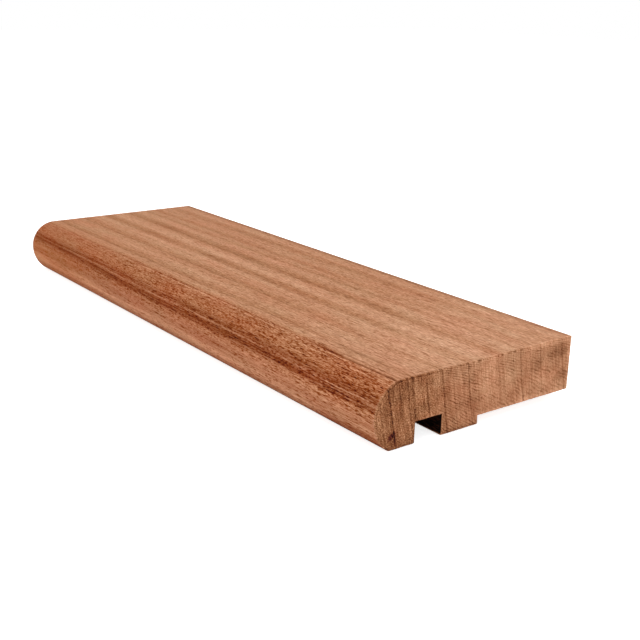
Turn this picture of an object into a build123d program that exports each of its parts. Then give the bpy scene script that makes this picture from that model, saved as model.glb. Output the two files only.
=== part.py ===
from build123d import *
import os

# Landing nosing: one length of solid hardwood that finishes the edge of a landing above a stair.
# Millimetres. X runs along the length, Y from the rounded nose at the front to the back edge,
# and Z up, with the origin under the middle of the piece.

# overall
length = 288.0
width = 97.0
thickness = 25.0

# the nose: a quarter round from the top face to the front, then a flatter arc back to the underside
nose_top_radius = 12.5
under_curve_reach = 6.3
under_easing = 2.0

# the underside, from the front: lip, riser groove, land, and the rebate that runs out at the back
lip_width = 18.1
groove_width = 12.2
groove_depth = 8.0
land_width = 18.3
rebate_depth = 3.3

# the small round that sanding leaves on the long outer corners
arris_radius = 0.4

nose_front = -width / 2
back_edge = width / 2
groove_front = nose_front + lip_width
groove_back = groove_front + groove_width
land_back = groove_back + land_width
spring_height = thickness - nose_top_radius


def section():
    """The moulded section in the YZ plane, with its long corners eased."""
    top_tangent = (nose_front + nose_top_radius, thickness)
    nose_point = (nose_front, spring_height)
    under_corner = (nose_front + under_curve_reach, 0)
    outer_corners = [
        (groove_front, 0),
        (groove_back, 0),
        (land_back, 0),
        (back_edge, rebate_depth),
        (back_edge, thickness),
    ]
    with BuildSketch(Plane.YZ) as sketch:
        with BuildLine():
            TangentArc(top_tangent, nose_point, tangent=(-1, 0))
            TangentArc(nose_point, under_corner, tangent=(0, -1))
            Polyline(
                under_corner,
                (groove_front, 0),
                (groove_front, groove_depth),
                (groove_back, groove_depth),
                (groove_back, 0),
                (land_back, 0),
                (land_back, rebate_depth),
                (back_edge, rebate_depth),
                (back_edge, thickness),
                top_tangent,
            )
        make_face()
        fillet(corners_at(sketch, [under_corner]), under_easing)
        fillet(corners_at(sketch, outer_corners), arris_radius)
    return sketch.sketch


def corners_at(sketch, places):
    """The corners of the sketch nearest to the given places in its own plane."""
    return [sketch.vertices().sort_by_distance((y, z, 0))[0] for y, z in places]


def nosing():
    """The section run along the whole length, square cut at both ends."""
    return extrude(section(), amount=length / 2, both=True)


os.makedirs("parts", exist_ok=True)
export_step(nosing(), "parts/landing_nosing.step")
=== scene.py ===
import math

import bpy
import numpy as np
from mathutils import Matrix, Vector
from mathutils.geometry import delaunay_2d_cdt


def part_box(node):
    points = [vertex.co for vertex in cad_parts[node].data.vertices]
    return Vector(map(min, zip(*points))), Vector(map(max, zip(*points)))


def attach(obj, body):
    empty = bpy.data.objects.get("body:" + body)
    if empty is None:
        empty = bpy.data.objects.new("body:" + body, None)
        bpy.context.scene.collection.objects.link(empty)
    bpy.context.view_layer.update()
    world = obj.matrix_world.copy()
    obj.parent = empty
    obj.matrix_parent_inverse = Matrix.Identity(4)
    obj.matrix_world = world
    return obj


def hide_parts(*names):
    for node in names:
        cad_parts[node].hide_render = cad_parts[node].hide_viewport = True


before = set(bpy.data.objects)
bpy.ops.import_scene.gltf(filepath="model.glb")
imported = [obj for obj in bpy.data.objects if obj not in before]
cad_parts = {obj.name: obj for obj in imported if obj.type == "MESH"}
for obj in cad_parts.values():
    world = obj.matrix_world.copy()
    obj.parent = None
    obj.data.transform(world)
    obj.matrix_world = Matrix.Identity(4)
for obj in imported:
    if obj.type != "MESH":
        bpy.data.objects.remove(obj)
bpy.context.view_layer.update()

mm = 0.001
boxLow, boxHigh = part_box("landing_nosing")
print("frame loaded, box in mm:", [round((boxHigh[i] - boxLow[i]) / mm, 2) for i in range(3)])

# The camera stands where the photograph's did, worked out from the edges and corners of the piece.

cameraFit = {
    "focalPixels": 1040.675,  # at the photograph's width of 640 pixels
    "imagePixels": 640.0,
    "sensorWidth": 36.0,
    "clip": (0.01, 50.0),
    "place": (0.384445, -0.257467, 0.147822),
    "right": (0.602532, 0.797692, 0.025336),
    "up": (-0.255322, 0.162583, 0.953088),
}


def makeCamera(fit):
    # the camera's axes are right, up and their cross product; lens = focal pixels / pixels * sensor
    data = bpy.data.cameras.new("photoCamera")
    camera = bpy.data.objects.new("photoCamera", data)
    bpy.context.scene.collection.objects.link(camera)
    right, up = Vector(fit["right"]), Vector(fit["up"])
    turned = Matrix((right, up, right.cross(up))).transposed().to_4x4()
    camera.matrix_world = Matrix.Translation(fit["place"]) @ turned
    data.sensor_width = fit["sensorWidth"]
    data.lens = fit["focalPixels"] / fit["imagePixels"] * fit["sensorWidth"]
    data.clip_start, data.clip_end = fit["clip"]
    bpy.context.scene.camera = camera
    print("camera ready, lens", round(data.lens, 2), "mm")


makeCamera(cameraFit)

# Small helpers for shader trees: a socket given as an input is linked, anything else is its value.


def addNode(tree, kind, inputs=None, **settings):
    # a node with these settings, and its inputs linked or set
    made = tree.nodes.new(kind)
    for name, value in settings.items():
        setattr(made, name, value)
    for key, value in (inputs or {}).items():
        if isinstance(value, bpy.types.NodeSocket):
            tree.links.new(value, made.inputs[key])
        else:
            made.inputs[key].default_value = value
    return made


def calc(tree, operation, first, second=0.0):
    # one operation on one or two values
    return addNode(tree, "ShaderNodeMath", {0: first, 1: second}, operation=operation).outputs[0]


def times(tree, first, *others):
    # the product of one or more values
    for other in others:
        first = calc(tree, "MULTIPLY", first, other)
    return first


def plus(tree, first, *others):
    # the sum of one or more values
    for other in others:
        first = calc(tree, "ADD", first, other)
    return first


def minus(tree, first, second):
    # first - second
    return calc(tree, "SUBTRACT", first, second)


def graded(tree, value, low, high, atLow, atHigh):
    # runs smoothly from atLow to atHigh as the value goes from low to high, and stays there beyond
    inputs = {"Value": value, "From Min": low, "From Max": high, "To Min": atLow, "To Max": atHigh}
    return addNode(tree, "ShaderNodeMapRange", inputs, interpolation_type="SMOOTHSTEP").outputs[0]


def sloped(tree, places, slopes):
    # the product of slopes, each listed under the name of the place that it runs along
    return times(tree, *[graded(tree, places[name], *slope) for name, slope in slopes.items()])


def summed(tree, place, slopes):
    # the sum of slopes that run along one place
    return plus(tree, *[graded(tree, place, *slope) for slope in slopes])


def mixed(tree, share, first, second):
    # first + share * (second - first)
    return plus(tree, times(tree, share, minus(tree, second, first)), first)


def scaled(tree, vector, by):
    # each part of the vector times its own factor
    return addNode(tree, "ShaderNodeVectorMath", {0: vector, 1: by}, operation="MULTIPLY").outputs[0]


def shrunk(tree, vector, sizes):
    # each part of the vector divided by its own size
    return addNode(tree, "ShaderNodeVectorMath", {0: vector, 1: sizes}, operation="DIVIDE").outputs[0]


def joined(tree, x, y, z):
    # the vector of these parts
    return addNode(tree, "ShaderNodeCombineXYZ", {0: x, 1: y, 2: z}).outputs[0]


def parted(tree, vector):
    # the x, y and z of a vector
    return addNode(tree, "ShaderNodeSeparateXYZ", {0: vector}).outputs


def noiseAt(tree, vector, sizes, detail=1.0, roughness=0.5):
    # noise about zero, between -0.5 and 0.5; sizes are the lengths of its lumps along x, y and z
    stretched = scaled(tree, vector, [1 / size if size else 0.0 for size in sizes])
    inputs = {"Vector": stretched, "Scale": 1.0, "Detail": detail, "Roughness": roughness}
    made = addNode(tree, "ShaderNodeTexNoise", inputs, noise_dimensions="3D")
    return minus(tree, made.outputs[0], 0.5)


def wavering(tree, vector, s):
    # noise times an amount
    return times(tree, noiseAt(tree, vector, s["sizes"], s["detail"]), s["by"])


def patches(tree, vector, s):
    # noise carried by a slope from one strength to another
    return graded(tree, noiseAt(tree, vector, s["sizes"], s["detail"]), *s["slope"])


def stripes(tree, coordinate, listed):
    # the sum of soft stripes: place, reach beyond it, reach before it, tone
    tones = []
    for place, beyond, before, tone in listed:
        rise = graded(tree, coordinate, place - before, place, 0.0, tone)
        fall = graded(tree, coordinate, place, place + beyond, 1.0, 0.0)
        tones.append(times(tree, rise, fall))
    return plus(tree, *tones)


def newGroup(name, inputs, outputs):
    # an empty node group; an input's kind is a vector where its value is None, and else a number
    group = bpy.data.node_groups.new(name, "ShaderNodeTree")
    for label, value in inputs.items():
        kind = "NodeSocketVector" if value is None else "NodeSocketFloat"
        socket = group.interface.new_socket(label, in_out="INPUT", socket_type=kind)
        if value is not None:
            socket.default_value = value
    for label, kind in outputs.items():
        group.interface.new_socket(label, in_out="OUTPUT", socket_type="NodeSocket" + kind)
    return group, group.nodes.new("NodeGroupInput").outputs, group.nodes.new("NodeGroupOutput").inputs


def placed(tree, group, inputs):
    # what a group puts out for these inputs
    return addNode(tree, "ShaderNodeGroup", inputs, node_tree=group).outputs


def linear(color):
    # a display colour of 0 to 255, as the linear colour that shaders take
    share = [value / 255 for value in color]
    return [v / 12.92 if v <= 0.04045 else ((v + 0.055) / 1.055) ** 2.4 for v in share] + [1.0]


# The floor is pale and near white to the camera, and still takes the shadow of the piece.

floorSheet = {
    "half": 3.0,
    "drop": 0.3 * mm,  # just under the piece, so that no two faces share a plane
    "tone": (0.90, 0.90, 0.90, 1.0),
    "glow": 0.76,
}


def floorMaterial(settings):
    # the shaded floor plus a glow that only the camera sees; from below it is clear
    made = bpy.data.materials.new("paleFloor")
    made.use_nodes = True
    tree = made.node_tree
    tree.nodes.clear()
    path = addNode(tree, "ShaderNodeLightPath").outputs
    plain = addNode(tree, "ShaderNodeBsdfDiffuse", {"Color": settings["tone"]}).outputs[0]
    glow = addNode(tree, "ShaderNodeEmission", {"Strength": settings["glow"]}).outputs[0]
    dark = addNode(tree, "ShaderNodeEmission", {"Strength": 0.0}).outputs[0]
    seen = addNode(tree, "ShaderNodeMixShader", {0: path["Is Camera Ray"], 1: dark, 2: glow}).outputs[0]
    both = addNode(tree, "ShaderNodeAddShader", {0: plain, 1: seen}).outputs[0]
    clear = addNode(tree, "ShaderNodeBsdfTransparent").outputs[0]
    under = addNode(tree, "ShaderNodeNewGeometry").outputs["Backfacing"]
    whole = addNode(tree, "ShaderNodeMixShader", {0: under, 1: both, 2: clear}).outputs[0]
    addNode(tree, "ShaderNodeOutputMaterial", {"Surface": whole})
    return made


def makeFloor(settings):
    # one square, facing up
    half, level = settings["half"], boxLow.z - settings["drop"]
    mesh = bpy.data.meshes.new("floor")
    corners = [(-half, -half, level), (half, -half, level), (half, half, level), (-half, half, level)]
    mesh.from_pydata(corners, [], [(0, 1, 2, 3)])
    floor = bpy.data.objects.new("floor", mesh)
    floor.data.materials.append(floorMaterial(settings))
    bpy.context.scene.collection.objects.link(floor)
    print("floor laid")


makeFloor(floorSheet)

# The light of a white tent: an even sky, a broad lamp above, and weaker ones to the front, end and back.

lighting = {
    "sky": 0.50,
    "white": (1.0, 1.0, 1.0, 1.0),
    "lamps": {
        "overhead": {"place": (0.05, 0.05, 0.90), "size": (0.9, 0.9), "power": 4.3},
        "frontFill": {"place": (0.00, -0.95, 0.16), "size": (1.4, 0.30), "power": 3.4},
        "endFill": {"place": (1.05, 0.05, 0.24), "size": (0.7, 0.40), "power": 3.2},
        "backSheen": {"place": (-0.80, 0.75, 0.35), "size": (0.8, 0.8), "power": 1.6},
    },
}


def makeLights(settings):
    # every lamp faces the origin, and the sky is plain white to the camera alone
    for name, lamp in settings["lamps"].items():
        data = bpy.data.lights.new(name, "AREA")
        data.shape, data.energy = "RECTANGLE", lamp["power"]
        data.size, data.size_y = lamp["size"]
        light = bpy.data.objects.new(name, data)
        bpy.context.scene.collection.objects.link(light)
        turned = (-Vector(lamp["place"])).to_track_quat("-Z", "Y").to_matrix().to_4x4()
        light.matrix_world = Matrix.Translation(lamp["place"]) @ turned
        light.visible_camera = False
    world = bpy.data.worlds.new("studio")
    world.use_nodes = True
    tree = world.node_tree
    tree.nodes.clear()
    path = addNode(tree, "ShaderNodeLightPath").outputs
    white = settings["white"]
    sky = addNode(tree, "ShaderNodeBackground", {"Color": white, "Strength": settings["sky"]}).outputs[0]
    backdrop = addNode(tree, "ShaderNodeBackground", {"Color": white, "Strength": 1.0}).outputs[0]
    seen = addNode(tree, "ShaderNodeMixShader", {0: path["Is Camera Ray"], 1: sky, 2: backdrop}).outputs[0]
    addNode(tree, "ShaderNodeOutputWorld", {"Surface": seen})
    bpy.context.scene.world = world
    bpy.context.scene.view_settings.view_transform = "Standard"
    print("lights:", ", ".join(settings["lamps"]))


makeLights(lighting)

# The nosing: its moulded section is carried along the length, and both ends are closed with sawn faces.

nosing = {
    "noseRadius": 12.5 * mm,
    "underReach": 6.3 * mm,
    "underEasing": 2.0 * mm,
    "lip": 18.1 * mm,
    "groove": 12.2 * mm,
    "grooveDepth": 8.0 * mm,
    "land": 18.3 * mm,
    "rebate": 3.3 * mm,
    "arris": 0.4 * mm,
    "endEasing": 0.32 * mm,  # the small round where the long faces meet the sawn ends
    "easingRun": 1.6,  # it reaches this many times as far along the piece as across the end
    "easingSwing": 0.35,  # how unevenly it is worn
    "easingWaves": ((6.7, 0.4), (3.1, 1.9), (1.7, 4.1)),  # length in mm and phase of each ripple of wear
    "noseStep": 0.55 * mm,
    "flatStep": 1.6 * mm,
    "underSteps": 9,
    "arrisSteps": 4,
    "endSteps": 5,
    "lengthSteps": 110,
    "guard": 0.15 * mm,  # a narrow strip beside each round, so that the flats shade flat
    "sharpAngle": 40,
    "sawRadius": 190 * mm,
    "sawHeight": -159 * mm,  # the saw's arbor ran below the piece, from the nose to the back
    "sawFeed": 2.95 * mm,  # how far it went for each mark
    "slowBefore": -65 * mm,  # the arbor's place in Y up to which it was fed more slowly
    "slowing": 0.0023,
    "sawDepth": 0.02 * mm,
    "sawFade": 0.8 * mm,  # how far from the outline the marks reach their depth
    "sawRows": 4,  # rows of points for each mark
    "sawStep": 0.18 * mm,  # the rise from one point to the next along a row
    "sawSamples": 4000,  # places at which the marks are counted
    "sawClear": 0.12 * mm,  # no point stands nearer to the outline than this
    "weld": 1e-4,
    "rimReach": 3.0 * mm,  # how far from the outline the rim attribute counts
}


def straight(start, end, step, guard):
    # evenly spaced points from start to end, with one more a guard's width from each end
    start, end = np.array(start), np.array(end)
    span = np.linalg.norm(end - start)
    guard = min(guard, span / 4)
    inner = np.linspace(guard, span - guard, max(2, int(round(span / step)) + 1))
    at = np.concatenate([[0.0], inner, [span]])
    return start + (end - start) * (at / span)[:, None]


def arc(centre, radius, fromAngle, toAngle, count):
    # centre + radius * (cos a, sin a), with a running evenly between the two angles
    a = np.linspace(fromAngle, toAngle, count)
    return np.array(centre) + radius * np.stack([np.cos(a), np.sin(a)], 1)


def sectionOutline(s):
    # The section as a closed loop of (y, z), anticlockwise seen from +X: underside, back, top and nose.
    front, back = boxLow.y, boxHigh.y
    base, top = boxLow.z, boxHigh.z
    r, e, n = s["arris"], s["underEasing"], s["arrisSteps"] + 1
    quarter = math.pi / 2
    grooveFront = front + s["lip"]
    grooveBack = grooveFront + s["groove"]
    landBack = grooveBack + s["land"]
    spring = top - s["noseRadius"]
    # the lower arc has its centre level with the spring line, and passes through the under corner
    lowerRadius = (s["underReach"] ** 2 + (spring - base) ** 2) / (2 * s["underReach"])
    lowerCentre = (front + lowerRadius, spring)
    # the easing circle touches the lower arc from inside and the underside from above
    easeReach = math.sqrt((lowerRadius - e) ** 2 - (spring - base - e) ** 2)
    easeCentre = (front + lowerRadius - easeReach, base + e)
    easeAngle = math.pi + math.atan2(spring - easeCentre[1], lowerCentre[0] - easeCentre[0])
    step, g = s["flatStep"], s["guard"]
    ceiling, seat = base + s["grooveDepth"], base + s["rebate"]
    noseCount = int(s["noseRadius"] * quarter / s["noseStep"])
    lowerCount = int((easeAngle - math.pi) * lowerRadius / s["noseStep"])
    parts = [
        arc(easeCentre, e, easeAngle, 3 * quarter, s["underSteps"]),
        straight((easeCentre[0], base), (grooveFront - r, base), step, g),
        arc((grooveFront - r, base + r), r, -quarter, 0, n),
        straight((grooveFront, base + r), (grooveFront, ceiling), step, g),
        straight((grooveFront, ceiling), (grooveBack, ceiling), step, g),
        straight((grooveBack, ceiling), (grooveBack, base + r), step, g),
        arc((grooveBack + r, base + r), r, math.pi, 3 * quarter, n),
        straight((grooveBack + r, base), (landBack - r, base), step, g),
        arc((landBack - r, base + r), r, -quarter, 0, n),
        straight((landBack, base + r), (landBack, seat), step, g),
        straight((landBack, seat), (back - r, seat), step, g),
        arc((back - r, seat + r), r, -quarter, 0, n),
        straight((back, seat + r), (back, top - r), step, g),
        arc((back - r, top - r), r, 0, quarter, n),
        straight((back - r, top), (front + s["noseRadius"], top), step, g),
        arc((front + s["noseRadius"], spring), s["noseRadius"], quarter, math.pi, noseCount),
        arc(lowerCentre, lowerRadius, math.pi, easeAngle, lowerCount),
    ]
    return np.concatenate([part[:-1] for part in parts])


def inwardNormals(loop):
    # each corner's inward direction, lengthened so that both of its sides move by one unit
    ahead = np.roll(loop, -1, 0) - loop
    ahead /= np.linalg.norm(ahead, axis=1)[:, None]
    left = np.stack([-ahead[:, 1], ahead[:, 0]], 1)
    before = np.roll(left, 1, 0)
    return (left + before) / (1 + (left * before).sum(1))[:, None]


def wornEasing(loop, s):
    # the radius of the round at each corner of the outline: a base size times one plus small waves
    along = np.cumsum(np.linalg.norm(loop - np.roll(loop, 1, 0), axis=1)) / mm
    waves = [np.sin(2 * math.pi * along / length + phase) for length, phase in s["easingWaves"]]
    return s["endEasing"] * (1 + s["easingSwing"] * np.mean(waves, 0))


def insideLoop(points, loop):
    # a point is inside when a ray along +Y crosses the outline an odd number of times
    a, b = loop, np.roll(loop, -1, 0)
    low, high = np.minimum(a[:, 1], b[:, 1]), np.maximum(a[:, 1], b[:, 1])
    spans = (points[:, 1:2] >= low) & (points[:, 1:2] < high)
    rise = np.where(b[:, 1] == a[:, 1], 1.0, b[:, 1] - a[:, 1])
    crossing = a[:, 0] + (points[:, 1:2] - a[:, 1]) / rise * (b[:, 0] - a[:, 0])
    return (spans & (crossing > points[:, 0:1])).sum(1) % 2 == 1


def distanceToLoop(points, loop):
    # the shortest distance from each point to any side of the outline
    a, d = loop, np.roll(loop, -1, 0) - loop
    t = ((points[:, None] - a) * d).sum(2) / (d * d).sum(1)
    nearest = a + np.clip(t, 0, 1)[..., None] * d
    return np.linalg.norm(points[:, None] - nearest, axis=2).min(1)


def arborPlace(points, s):
    # where the arbor stood when the saw's edge passed: c = y - sqrt(radius^2 - (z - height)^2)
    return points[:, 0] - np.sqrt(s["sawRadius"] ** 2 - (points[:, 1] - s["sawHeight"]) ** 2)


def sawMarks(place, s):
    # how many marks the saw has left by then: c / feed - slowing * (slowBefore - c)^2 while it was slow
    slow = np.maximum(s["slowBefore"] - place, 0) / mm
    return place / s["sawFeed"] - s["slowing"] * slow ** 2


def sawnFace(loop, s):
    # The face inside an outline, as points on the arcs that the saw left, joined to the outline.
    # Its depth is a cosine of the count of the saw's marks, fading out at the outline.
    reached = arborPlace(loop, s)
    arbor = np.linspace(reached.min(), reached.max(), s["sawSamples"])
    count = sawMarks(arbor, s)
    rows = np.interp(np.arange(count[0], count[-1], 1 / s["sawRows"]), count, arbor)
    heights = np.arange(loop[:, 1].min(), loop[:, 1].max(), s["sawStep"])
    rowGrid, heightGrid = np.meshgrid(rows, heights, indexing="ij")
    heightGrid[1::2] += s["sawStep"] / 2
    across = rowGrid + np.sqrt(s["sawRadius"] ** 2 - (heightGrid - s["sawHeight"]) ** 2)
    points = np.stack([across, heightGrid], -1).reshape(-1, 2)
    points = points[insideLoop(points, loop)]
    away = distanceToLoop(points, loop)
    kept = away > s["sawClear"]
    flat = np.concatenate([loop, points[kept]])
    away = np.concatenate([np.zeros(len(loop)), away[kept]])
    ring = np.arange(len(loop))
    sides = np.stack([ring, np.roll(ring, -1)], 1).tolist()
    inMillimetres = [Vector(p) for p in flat / mm]
    found, _, faces, oldVerts, _, _ = delaunay_2d_cdt(inMillimetres, sides, [], 1, s["weld"])
    assert len(found) == len(flat), "the sawn face lost or gained points"
    order = np.array([old[0] for old in oldVerts])
    faces = order[np.array(faces)]
    wave = 0.5 + 0.5 * np.cos(2 * math.pi * sawMarks(arborPlace(flat, s), s))
    fade = np.clip(away / s["sawFade"], 0, 1)
    return flat, faces, s["sawDepth"] * wave * fade, away


def makeNosing(s):
    # Ring i has the outline moved in by e * (1 - cos t) and stands run * e * (1 - sin t) short of the
    # end, where e is the worn easing and t turns from a right angle to zero; plain rings lie between.
    loop = sectionOutline(s)
    around = len(loop)
    easing = wornEasing(loop, s)
    turn = np.linspace(math.pi / 2, 0, s["endSteps"])[:, None]
    short, inset = s["easingRun"] * easing * (1 - np.sin(turn)), easing * (1 - np.cos(turn))
    inner = boxHigh.x - s["easingRun"] * s["endEasing"] * (1 + s["easingSwing"]) - s["guard"]
    plain = np.linspace(inner, -inner, s["lengthSteps"])[:, None] + np.zeros(around)
    x = np.concatenate([boxHigh.x - short, plain, (short - boxHigh.x)[::-1]])
    inset = np.concatenate([inset, plain * 0, inset[::-1]])
    rings = loop[None] + inwardNormals(loop)[None] * inset[..., None]
    count = len(x)
    verts = np.concatenate([x[..., None], rings], 2).reshape(-1, 3)
    i, j = np.meshgrid(np.arange(count - 1), np.arange(around), indexing="ij")
    near, far, after = i * around, (i + 1) * around, (j + 1) % around
    quads = np.stack([near + j, far + j, far + after, near + after], -1).reshape(-1, 4)
    flat, tris, depth, away = sawnFace(rings[0], s)
    extra = len(flat) - around
    faces, rim = quads.tolist(), np.zeros(len(verts))
    for side, firstRing in ((1, 0), (-1, (count - 1) * around)):
        capX = side * (boxHigh.x - depth[around:])
        index = np.concatenate([firstRing + np.arange(around), len(verts) + np.arange(extra)])
        verts = np.concatenate([verts, np.concatenate([capX[:, None], flat[around:]], 1)])
        rim = np.concatenate([rim, np.minimum(away[around:], s["rimReach"]) / mm])
        faces += index[tris if side == 1 else tris[:, ::-1]].tolist()
    mesh = bpy.data.meshes.new("nosing")
    mesh.from_pydata(verts.tolist(), [], faces)
    mesh.attributes.new("rim", "FLOAT", "POINT").data.foreach_set("value", rim)
    mesh.polygons.foreach_set("use_smooth", np.ones(len(faces), bool))
    # the rounds at the ends are sawn wood, apart from those of the groove's walls and ceiling, which keep
    # the planed wood so that its painted shade reaches the ends
    ringOf = np.arange(len(quads)) // around
    rounded = (ringOf < len(turn)) | (ringOf >= count - 1 - len(turn))
    fromMiddle = (loop[:, 0] + np.roll(loop[:, 0], -1)) / 2 - boxLow.y - s["lip"] - s["groove"] / 2
    high = (loop[:, 1] + np.roll(loop[:, 1], -1)) / 2 - boxLow.z
    slack = s["arris"] / 4
    inGroove = (abs(fromMiddle) < s["groove"] / 2 + slack) & (high > s["arris"])
    inGroove &= high < s["grooveDepth"] + slack  # the ceiling's own sides are just under this
    sawnFaces = np.concatenate([rounded & ~np.tile(inGroove, count - 1), np.ones(2 * len(tris), bool)])
    mesh.polygons.foreach_set("material_index", sawnFaces.astype(np.int32))
    mesh.set_sharp_from_angle(angle=math.radians(s["sharpAngle"]))
    mesh.update()
    piece = bpy.data.objects.new("nosing", mesh)
    bpy.context.scene.collection.objects.link(piece)
    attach(piece, "root")
    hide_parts("landing_nosing")
    print("nosing built:", len(quads) * 2 + 2 * len(tris), "triangles,", around, "points round the section")
    return piece


nosingPiece = makeNosing(nosing)

# The wood is one solid of grain, in millimetres. Its layers stand nearly upright and lean a little, and
# every face cuts the same ones, so that a stripe on the top meets its line on the sawn end.
# A name with four numbers is a slope: where it starts, where it ends, and its value at each.

wood = {
    "lean": 0.20,  # how far a layer moves towards the nose for each unit of depth
    "nearDrift": 0.2,  # how far the layers have strayed at the near end
    "wander": {"sizes": (110, 50, 35), "detail": 1.0, "by": 1.8},
    "ripple": {"sizes": (24, 8, 5), "detail": 2.0, "by": 0.30},
    "nearRipple": (50, 140, 1.0, 2.6),  # how much stronger it gets along x
    "swerve": {"x": (75, 120, 0.0, 1.7), "y": (-2.0, 5.0, 1.0, 0.0)},  # the front stripes turn to the nose
    "ribbons": [  # stripes of turned grain: place, reach to the back, reach to the nose, tone
        (36.8, 4.4, 3.8, -10), (42.0, 3.0, 3.0, 8), (29.8, 3.0, 3.0, 3), (25.4, 3.6, 2.6, -10),
        (19.6, 2.2, 1.6, -7), (15.8, 3.0, 4.0, 8), (8.6, 5.4, 2.8, -20), (3.4, 3.4, 3.0, 9),
        (0.2, 3.2, 1.6, 13), (-4.4, 3.2, 3.6, -15), (-9.4, 3.6, 3.4, 9), (-12.9, 1.6, 2.6, 6),
        (-17.9, 3.2, 3.4, -11), (-25.8, 3.6, 3.6, 8), (-31.4, 2.2, 2.6, -12), (-35.4, 2.0, 2.0, 6),
    ],
    "ribbonPatches": {"sizes": (45, 16, 12), "detail": 1.0, "slope": (-0.25, 0.25, 0.70, 1.30)},
    "ribbonFading": (30, 115, 1.05, 0.60),  # along x
    "layers": [  # lines where a season's growth ends, listed in the same way
        (42.5, 0.5, 0.5, -26), (30.2, 0.7, 0.5, -14), (19.8, 0.6, 0.4, -30), (8.2, 0.9, 0.6, -14),
        (-6.8, 0.7, 0.5, -24), (-19.1, 0.6, 0.5, -36), (-23.6, 0.6, 0.6, -14), (-26.5, 0.6, 0.6, -19),
        (-28.6, 0.6, 0.6, -20), (-32.8, 1.0, 0.9, -36), (-35.0, 0.9, 0.9, -20), (-38.4, 0.5, 0.5, -12),
        (-43.4, 0.6, 0.5, -42), (-42.5, 0.35, 0.35, 18), (-45.0, 0.5, 0.4, -12), (-47.8, 0.5, 0.4, -14),
    ],
    "layerBeads": {"sizes": (14, 2.4, 1.6), "detail": 2.0, "slope": (-0.20, 0.20, 0.35, 1.45)},
    "streaks": {"detail": 2.0, "roughness": 0.6},
    "poreDepth": (0.0, 1.0, 0.4, 1.0),  # from the shallowest pore to the deepest
    "poreEdge": (0.16, 0.46, 1.0, 0.0),  # outwards from a pore's middle
    "tones": [  # the wood's colours by tone, from the painted near-black shade deep in the groove to the palest stripe
        (16, (3, 1, 1)), (80, (80, 38, 18)), (117, (117, 68, 38)), (142, (142, 92, 60)),
        (160, (160, 107, 73)), (188, (188, 133, 97)), (215, (215, 160, 124)), (240, (240, 188, 156)),
    ],
    "blush": {"sizes": (26, 7, 7), "detail": 2.0, "hue": 0.018, "saturation": -0.12},
    "wear": {"sizes": (0.9, 0.9, 0.9), "detail": 2.0, "by": 0.9},
    "wearEdge": (0.3, 1.0, 1.0, 0.0),  # by distance, as a share of the width
    "tornDashes": {"sizes": (0, 2.2, 0), "detail": 3.0, "slope": (-0.08, 0.10, 0.0, 1.0)},
    "tornOften": {"sizes": (0, 12, 0), "detail": 1.0, "slope": (-0.12, 0.10, 0.3, 1.0)},
}


def grainField(s):
    # ring = y + lean * (z - top) + drift along x + wander + ripple; grain = (x, ring, z)
    group, given, made = newGroup("grainField", {"Vector": None}, {"Ring": "Float", "Grain": "Vector"})
    vector = given["Vector"]
    x, y, z = parted(group, vector)
    lean = times(group, minus(group, z, boxHigh.z / mm), s["lean"])
    drift = graded(group, x, 0.0, boxHigh.x / mm, 0.0, s["nearDrift"])
    ripple = times(group, wavering(group, vector, s["ripple"]), graded(group, x, *s["nearRipple"]))
    ring = plus(group, y, lean, drift, wavering(group, vector, s["wander"]), ripple)
    group.links.new(ring, made["Ring"])
    group.links.new(joined(group, x, ring, z), made["Grain"])
    return group


def woodFigure(s):
    # ribbons and layers are sums of stripes across the ring coordinate, stronger and weaker by turns
    inputs = {"Vector": None, "Ring": 0.0}
    group, given, made = newGroup("woodFigure", inputs, {"Ribbons": "Float", "Layers": "Float"})
    vector, ring = given["Vector"], given["Ring"]
    x, y, _ = parted(group, vector)
    swerved = plus(group, ring, sloped(group, {"x": x, "y": y}, s["swerve"]))
    strength = times(group, patches(group, vector, s["ribbonPatches"]), graded(group, x, *s["ribbonFading"]))
    beads = patches(group, vector, s["layerBeads"])
    group.links.new(times(group, stripes(group, swerved, s["ribbons"]), strength), made["Ribbons"])
    group.links.new(times(group, stripes(group, ring, s["layers"]), beads), made["Layers"])
    return group


def woodStreaks(s):
    # noise drawn out along the grain, about zero
    inputs = {"Vector": None, "Length": 20.0, "Width": 0.6}
    group, given, made = newGroup("woodStreaks", inputs, {"Value": "Float"})
    drawn = shrunk(group, given["Vector"], joined(group, given["Length"], given["Width"], given["Width"]))
    noise = noiseAt(group, drawn, (1, 1, 1), s["streaks"]["detail"], s["streaks"]["roughness"])
    group.links.new(noise, made["Value"])
    return group


def woodPores(s):
    # long thin cells; a share of them hold an open vessel, deepest along the cell's middle
    inputs = {"Vector": None, "Length": 3.0, "Width": 0.8, "Share": 0.5}
    group, given, made = newGroup("woodPores", inputs, {"Mask": "Float"})
    cells = shrunk(group, given["Vector"], joined(group, given["Length"], given["Width"], given["Width"]))
    found = addNode(group, "ShaderNodeTexVoronoi", {"Vector": cells, "Scale": 1.0}, voronoi_dimensions="3D")
    picked = addNode(group, "ShaderNodeSeparateColor", {0: found.outputs["Color"]}).outputs
    shown = calc(group, "LESS_THAN", picked[0], given["Share"])
    depth = graded(group, picked[1], *s["poreDepth"])
    hollow = graded(group, found.outputs["Distance"], *s["poreEdge"])
    group.links.new(times(group, hollow, shown, depth), made["Mask"])
    return group


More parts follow.
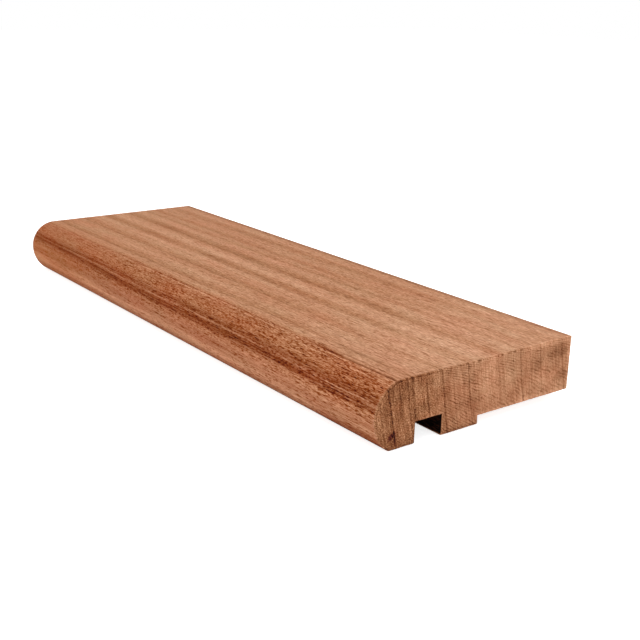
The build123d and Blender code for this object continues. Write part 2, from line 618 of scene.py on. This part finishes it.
def woodColor(s):
    # a tone from 0 to 255 looked up among the wood's colours, made richer and redder, unevenly in places
    inputs = {"Vector": None, "Tone": 180.0, "Richness": 1.0, "Redness": 0.0}
    group, given, made = newGroup("woodColor", inputs, {"Color": "Color"})
    low, high = s["tones"][0][0], s["tones"][-1][0]
    inputs = {"Value": given["Tone"], "From Min": low, "From Max": high}
    share = addNode(group, "ShaderNodeMapRange", inputs).outputs[0]
    ramp = addNode(group, "ShaderNodeValToRGB", {0: share})
    stops = ramp.color_ramp.elements
    for index, (tone, color) in enumerate(s["tones"]):
        spot = (tone - low) / (high - low)
        stop = stops[0] if index == 0 else stops[-1] if index == len(s["tones"]) - 1 else stops.new(spot)
        stop.position, stop.color = spot, linear(color)
    blush = s["blush"]
    noise = noiseAt(group, given["Vector"], blush["sizes"], blush["detail"])
    turned = {
        "Hue": plus(group, times(group, noise, blush["hue"]), times(group, given["Redness"], -1.0), 0.5),
        "Saturation": plus(group, times(group, noise, blush["saturation"]), given["Richness"]),
        "Color": ramp.outputs[0],
    }
    group.links.new(addNode(group, "ShaderNodeHueSaturation", turned).outputs[0], made["Color"])
    return group


def edgeWearAndPaintedLight(s):
    # the mask of worn edges, which also carries painted light: one at an edge, falling to zero at Width from
    # it along an uneven line
    inputs = {"Vector": None, "Distance": 1.0, "Width": 0.5}
    group, given, made = newGroup("edgeWearAndPaintedLight", inputs, {"Mask": "Float"})
    share = calc(group, "DIVIDE", given["Distance"], given["Width"])
    uneven = plus(group, share, wavering(group, given["Vector"], s["wear"]))
    group.links.new(graded(group, uneven, *s["wearEdge"]), made["Mask"])
    return group


def tornFibres(s):
    # short dashes along Y, thick and sparse by turns, where the saw tore fibres out of an end's arris
    group, given, made = newGroup("tornFibres", {"Vector": None}, {"Mask": "Float"})
    dashes, often = (patches(group, given["Vector"], s[kind]) for kind in ("tornDashes", "tornOften"))
    group.links.new(times(group, dashes, often), made["Mask"])
    return group


grain, figure, streaks, pores = grainField(wood), woodFigure(wood), woodStreaks(wood), woodPores(wood)
colors, wear, torn = woodColor(wood), edgeWearAndPaintedLight(wood), tornFibres(wood)
print("wood groups:", ", ".join(group.name for group in (grain, figure, streaks, pores, colors, wear, torn)))


def woodStart(name):
    # a new material with the part's coordinates in millimetres, its ring and its grain coordinates
    made = bpy.data.materials.new(name)
    made.use_nodes = True
    tree = made.node_tree
    tree.nodes.clear()
    where = addNode(tree, "ShaderNodeTexCoord").outputs["Object"]
    vector = scaled(tree, where, [1 / mm] * 3)
    field = placed(tree, grain, {"Vector": vector})
    drawn = placed(tree, figure, {"Vector": vector, "Ring": field["Ring"]})
    return made, tree, vector, field, drawn


def woodFinish(tree, vector, tone, richness, redness, height, rough, gloss):
    # the wood's colour at a tone, with its relief in millimetres
    inputs = {"Vector": vector, "Tone": tone, "Richness": richness, "Redness": redness}
    color = placed(tree, colors, inputs)[0]
    relief = addNode(tree, "ShaderNodeBump", {"Height": height, "Distance": mm, "Strength": 1.0}).outputs[0]
    shader = addNode(tree, "ShaderNodeBsdfPrincipled", {
        "Base Color": color, "Roughness": rough, "Normal": relief, "Specular IOR Level": gloss,
    })
    addNode(tree, "ShaderNodeOutputMaterial", {"Surface": shader.outputs[0]})


def shortOfEnd(tree, x):
    # the distance in mm from the nearer end
    return minus(tree, boxHigh.x / mm, calc(tree, "ABSOLUTE", x))


# The planed and sanded long faces. On the nose the pores are cut slantwise, and show darker.
# The place round the nose is in mm from its top; "place" is the same with the lines' own waves in it.

planed = {
    "tone": 185,
    "paler": (50, 130, 0.0, 1.0),  # the top gets paler along x
    "nearTone": 12,
    "noseHold": -100,  # the nose counts as this much further off, and doesn't get paler
    "noseTone": -13,
    "border": (-3.3, -0.5, 1.0, 0.0),  # where the nose's darker wood ends, from the top of the round
    "borderFray": {"sizes": (8, 0.9, 0.9), "detail": 2.0, "by": 3.4},
    "borderDrop": [(-110, -50, 0.6, 0.0), (95, 125, 0.0, 2.2)],  # how much further forward, along x
    "beside": {"y": (-28, -24, -5, 0.0), "z": (15, 20, 0.0, 1.0)},  # the top beside the nose, near end
    "cornerRun": (90, 115, 0.0, 1.0),
    "cornerLines": [  # further lines round the nose there, listed as the nose's are
        (1.5, 0.8, 0.8, -22), (3.4, 0.6, 1.1, -50), (4.6, 0.4, 0.4, 12), (6.4, 0.7, 0.6, 18),
        (8.0, 0.9, 0.9, -7), (12.6, 0.5, 0.5, 8), (13.5, 0.4, 0.4, 8), (14.4, 0.5, 0.5, 12),
        (15.5, 0.5, 0.5, 26), (16.5, 0.5, 0.4, 26), (17.5, 0.5, 0.4, -22), (20.5, 0.7, 0.7, -14),
        # the last, at the foot of the nose, is painted shade
        (27.8, 1.4, 0.9, -12),
    ],
    "farRun": (-95, -40, 1.0, 0.0),
    "farLines": [(3.0, 1.2, 1.2, -7), (12.5, 0.8, 0.9, -17), (26.4, 1.0, 1.0, 8)],  # and at the far end; the last, pale one low on the nose is partly painted bounce light from the floor
    "topLayers": 0.40,
    "noseLines": [  # place round the nose from the top, reach down, reach up, tone
        (2.5, 0.7, 0.9, -18), (3.5, 0.6, 0.6, 15), (4.6, 0.5, 0.4, -8), (5.2, 0.3, 0.3, 6),
        (6.2, 0.9, 0.9, -6), (8.3, 1.6, 1.6, -5), (9.7, 0.4, 0.4, -8), (10.2, 0.25, 0.25, -12),
        (11.9, 0.5, 0.5, -9), (13.4, 0.55, 0.60, 18), (14.8, 0.8, 0.5, -24), (15.8, 0.7, 0.8, -16),
        # the last, broad pale stripe low on the nose is partly painted bounce light from the floor
        (19.4, 1.2, 1.0, 8), (21.2, 0.4, 0.4, -4), (21.5, 5.0, 4.0, 6), (26.0, 3.4, 4.2, 26),
    ],
    "linePatches": {"sizes": (30, 2.0, 2.0), "detail": 1.0, "slope": (-0.2, 0.2, 0.65, 1.4)},
    "lineRipple": {"sizes": (26, 9, 9), "detail": 3.0, "by": 1.1},
    "lineFray": {"sizes": (7, 1.2, 1.2), "detail": 2.0, "by": 0.9},
    "farRise": {"x": (-130, -10, 2.1, 0.0), "round": (10.5, 15.5, 0.0, 1.0)},  # of the lower lines
    "nearRun": (80, 114, 0.0, 1.0),
    "nearFall": {"by": 0.65, "share": 0.035},  # the lines run lower there
    "nearBoost": 0.20,  # and stand out more
    "noseBand": {"place": (9.4, 12.0, 0.0, 1.0), "lowSide": (16.4, 17.6, 1.0, 0.0)},
    "bandTone": -24,
    "bandNear": 1.0,  # how much higher the band's lower side is at the near end
    "underToneAndPaintedShade": [  # below the band: the first and the last are painted shade on the downward-facing lower nose, the second a paler patch towards the near end
        {"x": (-100, -10, -14, -6), "place": (16.0, 18.5, 0.0, 1.0), "round": (24.0, 25.4, 1.0, 0.0)},
        {"x": (40, 105, 0.0, 11), "place": (15.0, 17.5, 0.0, 1.0), "round": (21.5, 23.5, 1.0, 0.0)},
        {"x": (92, 120, 0.0, -26), "place": (22.5, 26.5, 0.0, 1.0)},
    ],
    "under": (16.5, 20.5, 0.0, 1.0),
    # painted shade: a darker strip along the top's back arris, where the round turns away from the light
    "paintedBackArrisShade": {"y": (44.8, 47.0, 0.0, -24), "z": (23.8, 24.6, 0.0, 1.0)},
    "fineness": {  # how strongly the grain shows, along x
        "top": [(-120, 0, 0.98, 1.62), (20, 125, 0.0, 0.18)],
        "nose": [(-120, 0, 0.76, 1.64), (20, 125, 0.0, 0.52)],
    },
    "flecks": {"Length": 1.6, "Width": 0.35, "top": 62, "nose": 132, "band": 114, "under": 50},
    "dashes": {"Length": 5.2, "Width": 0.58, "top": 46, "nose": 68, "band": 34, "under": 24},
    "mottle": {"Length": 5.0, "Width": 1.60, "top": 8, "nose": 4, "band": 0, "under": 6},
    "streaks": {"Length": 17.0, "Width": 0.42, "top": 12, "nose": 32, "band": 72, "under": 37},
    "lines": {"Length": 70.0, "Width": 0.38, "top": 28, "nose": 30, "band": 52, "under": 32},
    "ceiling": {"from": 5, "nose": 0.45, "band": 0.20},  # how the nose's palest flecks are held back
    "smallPores": {"Length": 2.6, "Width": 0.62, "Share": 0.6},
    "largePores": {"Length": 7.0, "Width": 0.80, "Share": 0.5},
    "poreTone": {"top": -22, "nose": -30},
    "poreDepth": 0.04,
    "poreRoughness": 0.2,
    "fleckDepth": 0.02 / 60,  # for each step of the flecks' tone
    "cutterPitch": 2.6,  # the ripple that the cutters left on the hidden faces
    "cutterDepth": 0.008,
    "underside": (3.5, 4.0, 1.0, 0.0),
    "backFace": (48.2, 48.4, 0.0, 1.0),
    "groove": {  # where the groove's painted shade fades: from its front wall, its back wall, the underside and its ceiling
        "front": (-0.3, -0.05, 0.0, 1.0), "back": (0.05, 0.3, 1.0, 0.0),
        "up": (0.3, 0.9, 0.0, 1.0), "above": (0.2, 0.5, 1.0, 0.0),
    },
    # painted shade: the groove's walls and ceiling are darkened to near black, standing in for the deep
    # shade inside it
    "paintedGrooveShade": -170,
    "grooveRoughness": 0.2,
    "rimWearAndHighlightTone": 187,  # the tone of the worn arris at each end: paler worn wood with a painted highlight
    "rimWidth": 1.4,
    "nicks": {"short": (0.9, 0.6, 0.0, 1.0), "z": (24.0, 24.5, 0.0, -24)},  # torn fibres on the top
    "richness": {
        "top": 1.03, "ribbons": -0.0018, "nose": 1.05, "band": -0.035, "under": -0.025, "rim": -0.10,
        "near": -0.030, "farUnder": (-125, -40, 0.07, 0.0),
        "tone": -0.0004,  # on the nose, times the steps of tone above its plain one, which may be negative
        "deep": -0.0024,  # and besides, times the negative ones
    },
    "redness": 0.0066,  # of the nose
    "toneRedness": -0.00014,  # times the same steps
    "roughness": 0.60,
    "gloss": 0.06,
}


def roundNose(tree, y, z):
    # the nose's radius times the angle from the top, which is the distance in mm round the quarter round
    radius = nosing["noseRadius"] / mm
    forward = minus(tree, boxLow.y / mm + radius, y)
    angle = calc(tree, "ARCTAN2", forward, minus(tree, z, boxHigh.z / mm - radius))
    return times(tree, angle, radius)


def noseFigure(tree, vector, around, s):
    # The nose's long lines, stronger and weaker by turns, and its dark band. The lines' place is the
    # distance round the nose, with ripples, a rise towards the far end and a fall at the near end. It
    # gives the tone, and masks of the band and of the wood under it.
    places = {"x": parted(tree, vector)[0], "round": around}
    near = graded(tree, places["x"], *s["nearRun"])
    fall = plus(tree, times(tree, around, -s["nearFall"]["share"]), -s["nearFall"]["by"])
    waves = plus(tree, wavering(tree, vector, s["lineRipple"]), wavering(tree, vector, s["lineFray"]))
    place = plus(tree, around, waves, sloped(tree, places, s["farRise"]), times(tree, near, fall))
    places["place"] = place
    places["lowSide"] = plus(tree, place, times(tree, near, s["bandNear"]))
    boost = plus(tree, times(tree, near, s["nearBoost"]), 1.0)
    lines = times(tree, stripes(tree, place, s["noseLines"]), patches(tree, vector, s["linePatches"]), boost)
    band = sloped(tree, places, s["noseBand"])
    under = [sloped(tree, places, slopes) for slopes in s["underToneAndPaintedShade"]]
    tone = plus(tree, lines, times(tree, band, s["bandTone"]), *under)
    return tone, band, graded(tree, place, *s["under"])


def paintedGrooveShadeMask(tree, y, z, s):
    # the mask of the groove's painted shade: one on its walls and ceiling, falling to zero just inside its
    # arrises
    front = minus(tree, y, (boxLow.y + nosing["lip"]) / mm)
    back, above = minus(tree, front, nosing["groove"] / mm), minus(tree, z, nosing["grooveDepth"] / mm)
    return sloped(tree, {"front": front, "back": back, "up": z, "above": above}, s)


def planedWood(s):
    # Tone = the plain tone + ribbons, layers and grain + the nose's lines where the nose mask is one, with
    # worn rims that carry a painted highlight, torn nicks at the ends, painted shade along the back arris
    # and the groove's painted shade. The grain is streaks and pores.
    made, tree, vector, field, drawn = woodStart("planedWood")
    x, y, z = parted(tree, vector)
    along, share = field["Grain"], s["richness"]
    short, around = shortOfEnd(tree, x), roundNose(tree, y, z)
    places = {"y": y, "z": z, "short": short}
    border = plus(tree, minus(tree, y, (boxLow.y + nosing["noseRadius"]) / mm),
                  wavering(tree, vector, s["borderFray"]), summed(tree, x, s["borderDrop"]))
    nose = graded(tree, border, *s["border"])
    beside = sloped(tree, places, s["beside"])
    corner = times(tree, plus(tree, beside, stripes(tree, around, s["cornerLines"])),
                   graded(tree, x, *s["cornerRun"]))
    farCorner = times(tree, stripes(tree, around, s["farLines"]), graded(tree, x, *s["farRun"]))
    layers = times(tree, drawn["Layers"], graded(tree, nose, 0.0, 1.0, s["topLayers"], 0.0))
    lines, band, under = noseFigure(tree, vector, around, s)
    inBand, below = times(tree, band, nose), times(tree, under, nose)
    fineness = [summed(tree, x, s["fineness"][kind]) for kind in ("top", "nose")]
    drift = []
    for kind in ("flecks", "dashes", "mottle", "streaks", "lines"):
        part = s[kind]
        inputs = {"Vector": along, "Length": part["Length"], "Width": part["Width"]}
        strength = plus(tree, mixed(tree, nose, part["top"], part["nose"]),
                        times(tree, inBand, part["band"] - part["nose"]),
                        times(tree, below, part["under"] - part["nose"]))
        drift.append(times(tree, placed(tree, streaks, inputs)[0], strength))
    found = [placed(tree, pores, {"Vector": along, **s[kind]})[0] for kind in ("smallPores", "largePores")]
    hollow = calc(tree, "MAXIMUM", *found)
    poreTone = times(tree, hollow, mixed(tree, nose, s["poreTone"]["top"], s["poreTone"]["nose"]))
    allGrain = times(tree, plus(tree, *drift, poreTone), mixed(tree, nose, *fineness))
    ceiling = s["ceiling"]
    over = calc(tree, "MAXIMUM", plus(tree, allGrain, -ceiling["from"]), 0.0)
    heldBack = plus(tree, times(tree, nose, ceiling["nose"]), times(tree, inBand, ceiling["band"]))
    grainTone = plus(tree, allGrain, times(tree, over, heldBack, -1.0))
    noseTone = times(tree, nose, plus(tree, lines, s["noseTone"]))
    paler = graded(tree, plus(tree, x, times(tree, nose, s["noseHold"])), *s["paler"])
    whole = plus(tree, drawn["Ribbons"], layers, grainTone, noseTone, times(tree, paler, s["nearTone"]),
                 corner, farCorner, sloped(tree, places, s["paintedBackArrisShade"]), s["tone"])
    # worn, paler rims at the ends, partly painted highlight
    wornAndPaintedLight = placed(tree, wear, {"Vector": vector, "Distance": short, "Width": s["rimWidth"]})[0]
    rim = times(tree, wornAndPaintedLight, minus(tree, s["rimWearAndHighlightTone"], whole))
    nicks = times(tree, placed(tree, torn, {"Vector": vector})[0], minus(tree, 1.0, nose),
                  sloped(tree, places, s["nicks"]))
    paintedShade = paintedGrooveShadeMask(tree, y, z, s["groove"])
    tone = plus(tree, whole, rim, nicks, times(tree, paintedShade, s["paintedGrooveShade"]))
    above = plus(tree, whole, -s["tone"] - s["noseTone"])
    byTone = plus(tree, times(tree, above, share["tone"]),
                  times(tree, calc(tree, "MINIMUM", above, 0.0), share["deep"]))
    richness = plus(tree, mixed(tree, nose, share["top"], share["nose"]), times(tree, nose, byTone),
                    times(tree, inBand, share["band"]), times(tree, below, share["under"]),
                    times(tree, below, graded(tree, x, *share["farUnder"])),
                    times(tree, drawn["Ribbons"], share["ribbons"]), times(tree, wornAndPaintedLight, nose, share["rim"]),
                    times(tree, paler, share["near"]))
    redness = times(tree, nose, plus(tree, times(tree, above, s["toneRedness"]), s["redness"]))
    cutter = calc(tree, "COSINE", times(tree, x, 2 * math.pi / s["cutterPitch"]))
    hidden = calc(tree, "MAXIMUM", graded(tree, z, *s["underside"]), graded(tree, y, *s["backFace"]))
    height = plus(tree, times(tree, hollow, -s["poreDepth"]), times(tree, drift[0], s["fleckDepth"]),
                  times(tree, cutter, hidden, s["cutterDepth"]))
    rough = plus(tree, times(tree, hollow, s["poreRoughness"]), times(tree, paintedShade, s["grooveRoughness"]),
                 s["roughness"])
    woodFinish(tree, vector, tone, richness, redness, height, rough, s["gloss"])
    return made


# The sawn ends: the same layers end on, pores as dots, and the arcs of the saw across them.

sawn = {
    "tone": 181,
    "frontTone": (-40.0, 2.0, -33, 0.0),  # across the layers
    "layers": 1.25,
    "back": (-24.0, -14.0, 0.0, 1.0),  # along y, behind the front third
    "sawTone": -31,
    "sawBack": 0.85,  # how strongly the marks show at the back
    "sawFront": (-4.0, 4.0, 0.33, -0.15),  # and what is added to that, along y
    "sawPatches": {"sizes": (0, 4.5, 3.0), "detail": 1.0, "slope": (-0.22, 0.22, 0.25, 1.5)},
    "sawStray": {"sizes": (0, 5, 2.5), "detail": 3.0, "by": 1.76},  # how far a mark strays from its arc
    "sawOwn": {"sizes": (1.6, 10 / 3, 20 / 3), "detail": 2.0, "slope": (-0.22, 0.22, 0.4, 1.5)},
    "sawBroad": (-5.0, 18.0, 0.1, -0.6),  # the marks are broader and fainter towards the back
    "poreTone": -34,
    "poreDepth": 0.05,
    "poreRoughness": 0.15,
    "rays": {"sizes": (20, 0.6, 10), "detail": 2.0, "roughness": 0.6, "front": 128, "back": 76},
    "speckle": {"sizes": (0, 0.5, 0.5), "detail": 1.0, "roughness": 0.5, "front": 190, "back": 64},
    "clouds": {"sizes": (20, 9, 6), "detail": 3.0, "roughness": 0.5, "front": 84, "back": 60},
    "grainDepth": 0.0006,  # for each step of tone of the rays and the speckle
    "dots": {"Length": 4.0, "Width": 0.8, "Share": 0.6},
    "blotches": [  # place across and up, half sizes, tone
        (4.5, 17.0, 5.5, 9.0, 11), (-36.0, 20.5, 3.5, 4.5, -16), (-35.5, 6.5, 4.5, 6.0, 15),
        (28.0, 17.5, 6.0, 3.4, -12), (31.0, 19.5, 2.6, 3.0, -10), (42.0, 20.0, 7.0, 2.6, -20),
        (44.0, 10.0, 5.0, 2.6, -20), (-24.0, 6.0, 9.0, 3.0, 6), (25.0, 4.4, 22.0, 1.8, -1),
        (-2.6, 10.0, 3.2, 5.5, -16), (-12.0, 15.5, 4.0, 7.0, 8), (-42.3, 20.5, 1.6, 5.0, -22),
    ],
    "blotchStray": (4.5, 5.0),  # the size of the waves in their outlines, and how deep they are
    "blemishes": [  # a short slanting streak and a line under it, listed in the same way
        (-42.3, 4.2, 1.0, 0.8, -20), (-41.5, 5.0, 1.3, 1.1, -42), (-40.5, 5.7, 1.2, 0.9, -34),
        (-39.7, 6.2, 0.9, 0.6, -18), (-39.6, 3.2, 0.7, 2.4, -24),
    ],
    "blemishStray": (0.9, 1.0),
    "ovalEdge": (0.2, 1.3),  # where an oval's tone begins and ceases to fade, in squares of its half sizes
    "blemishRedness": -0.00032,  # for each step of their tone
    "rim": {"z": (1.6, 3.4, -20, 18), "y": (-34, -6, 0.2, 1.0)},  # the tone of the worn rim: painted shade along the bottom edge, paler worn wood with a painted highlight above
    "rimWidth": (10.0, 30.0, 1.2, 2.0),
    "rounded": (0.05, 0.25, 0.0, 1.0),  # where the worn arris itself is, by distance from the end
    # paler worn wood and a painted highlight on the worn arris itself
    "roundWearAndHighlightTone": 12,
    "arrisLine": {"rim": (0.0, 0.5, -18, 0.0), "y": (-30, -20, 1.0, 0.0)},  # the thin line just inside it
    "nicks": {"short": (0.15, 0.35, 1.0, 0.3), "z": (23.9, 24.4, 0.0, -60), "y": (14.0, 34.0, 1.0, 0.25)},
    "richness": (-30.0, -10.0, 1.01, 0.98),  # across the layers
    "roughness": 0.80,
    "gloss": 0.12,
}


def sawLines(tree, vector, cut, s):
    # one along the middle of each mark, counted as the face's relief counts them, and zero between
    _, y, z = parted(tree, vector)
    up = minus(tree, z, cut["sawHeight"] / mm)
    reach = calc(tree, "SQRT", minus(tree, (cut["sawRadius"] / mm) ** 2, times(tree, up, up)))
    arbor = minus(tree, y, reach)
    slow = calc(tree, "MAXIMUM", minus(tree, cut["slowBefore"] / mm, arbor), 0.0)
    count = plus(tree, times(tree, arbor, mm / cut["sawFeed"]), times(tree, slow, slow, -cut["slowing"]))
    strayed = plus(tree, count, wavering(tree, vector, s["sawStray"]))
    wave = calc(tree, "COSINE", times(tree, strayed, 2 * math.pi))
    mark = graded(tree, wave, graded(tree, y, *s["sawBroad"]), 1.0, 0.0, 1.0)
    return times(tree, mark, patches(tree, joined(tree, strayed, z, y), s["sawOwn"]))


def blotched(tree, vector, listed, stray, edge):
    # soft uneven ovals, each its tone at the middle, on the near end alone
    x, y, z = parted(tree, vector)
    size, by = stray
    strayedY = plus(tree, y, times(tree, noiseAt(tree, vector, (0, size, size), detail=2.0), by))
    strayedZ = plus(tree, z, times(tree, noiseAt(tree, vector, (9, size, size), detail=2.0), by))
    tones = []
    for placeY, placeZ, halfY, halfZ, tone in listed:
        across = calc(tree, "DIVIDE", minus(tree, strayedY, placeY), halfY)
        up = calc(tree, "DIVIDE", minus(tree, strayedZ, placeZ), halfZ)
        squares = plus(tree, times(tree, across, across), times(tree, up, up))
        tones.append(graded(tree, squares, *edge, tone, 0.0))
    return times(tree, plus(tree, *tones), calc(tree, "GREATER_THAN", x, 0.0))


def sawnEnd(s):
    # Tone = the plain tone, darker in front + layers + the saw's lines + rays, speckle, clouds and pores +
    # blotches + the worn and torn edges, which carry a painted highlight and, along the bottom, painted
    # shade.
    made, tree, vector, field, drawn = woodStart("sawnEnd")
    x, y, z = parted(tree, vector)
    along, ring = field["Grain"], field["Ring"]
    back = graded(tree, y, *s["back"])
    visible = plus(tree, times(tree, back, s["sawBack"]), graded(tree, y, *s["sawFront"]))
    lines = times(tree, sawLines(tree, vector, nosing, s), visible, patches(tree, vector, s["sawPatches"]),
                  s["sawTone"])
    noises = []
    for kind, where in (("rays", along), ("speckle", vector), ("clouds", vector)):
        part = s[kind]
        noise = noiseAt(tree, where, part["sizes"], part["detail"], part["roughness"])
        noises.append(times(tree, noise, mixed(tree, back, part["front"], part["back"])))
    rays, speckle, clouds = noises
    dots = placed(tree, pores, {"Vector": along, **s["dots"]})[0]
    rim = addNode(tree, "ShaderNodeAttribute", attribute_name="rim").outputs["Fac"]
    places = {"y": y, "z": z, "rim": rim, "short": shortOfEnd(tree, x)}
    width = graded(tree, y, *s["rimWidth"])
    wornAndPaintedLight = placed(tree, wear, {"Vector": vector, "Distance": rim, "Width": width})[0]
    rounded = graded(tree, places["short"], *s["rounded"])
    arrisLine = times(tree, sloped(tree, places, s["arrisLine"]), minus(tree, 1.0, rounded))
    nicks = times(tree, placed(tree, torn, {"Vector": vector})[0], sloped(tree, places, s["nicks"]))
    edges = plus(tree, times(tree, wornAndPaintedLight, sloped(tree, places, s["rim"])),
                 times(tree, rounded, s["roundWearAndHighlightTone"]), arrisLine, nicks)
    blotches = blotched(tree, vector, s["blotches"], s["blotchStray"], s["ovalEdge"])
    blemish = blotched(tree, vector, s["blemishes"], s["blemishStray"], s["ovalEdge"])
    tone = plus(tree, graded(tree, ring, *s["frontTone"]), times(tree, drawn["Layers"], s["layers"]), lines,
                rays, speckle, clouds, times(tree, dots, s["poreTone"]), blotches, blemish, edges, s["tone"])
    richness = graded(tree, ring, *s["richness"])
    redness = times(tree, blemish, s["blemishRedness"])
    height = plus(tree, times(tree, dots, -s["poreDepth"]), times(tree, speckle, s["grainDepth"]),
                  times(tree, rays, s["grainDepth"]))
    rough = plus(tree, times(tree, dots, s["poreRoughness"]), s["roughness"])
    woodFinish(tree, vector, tone, richness, redness, height, rough, s["gloss"])
    return made


nosingPiece.data.materials.append(planedWood(planed))
nosingPiece.data.materials.append(sawnEnd(sawn))
print("wood applied to", nosingPiece.name)
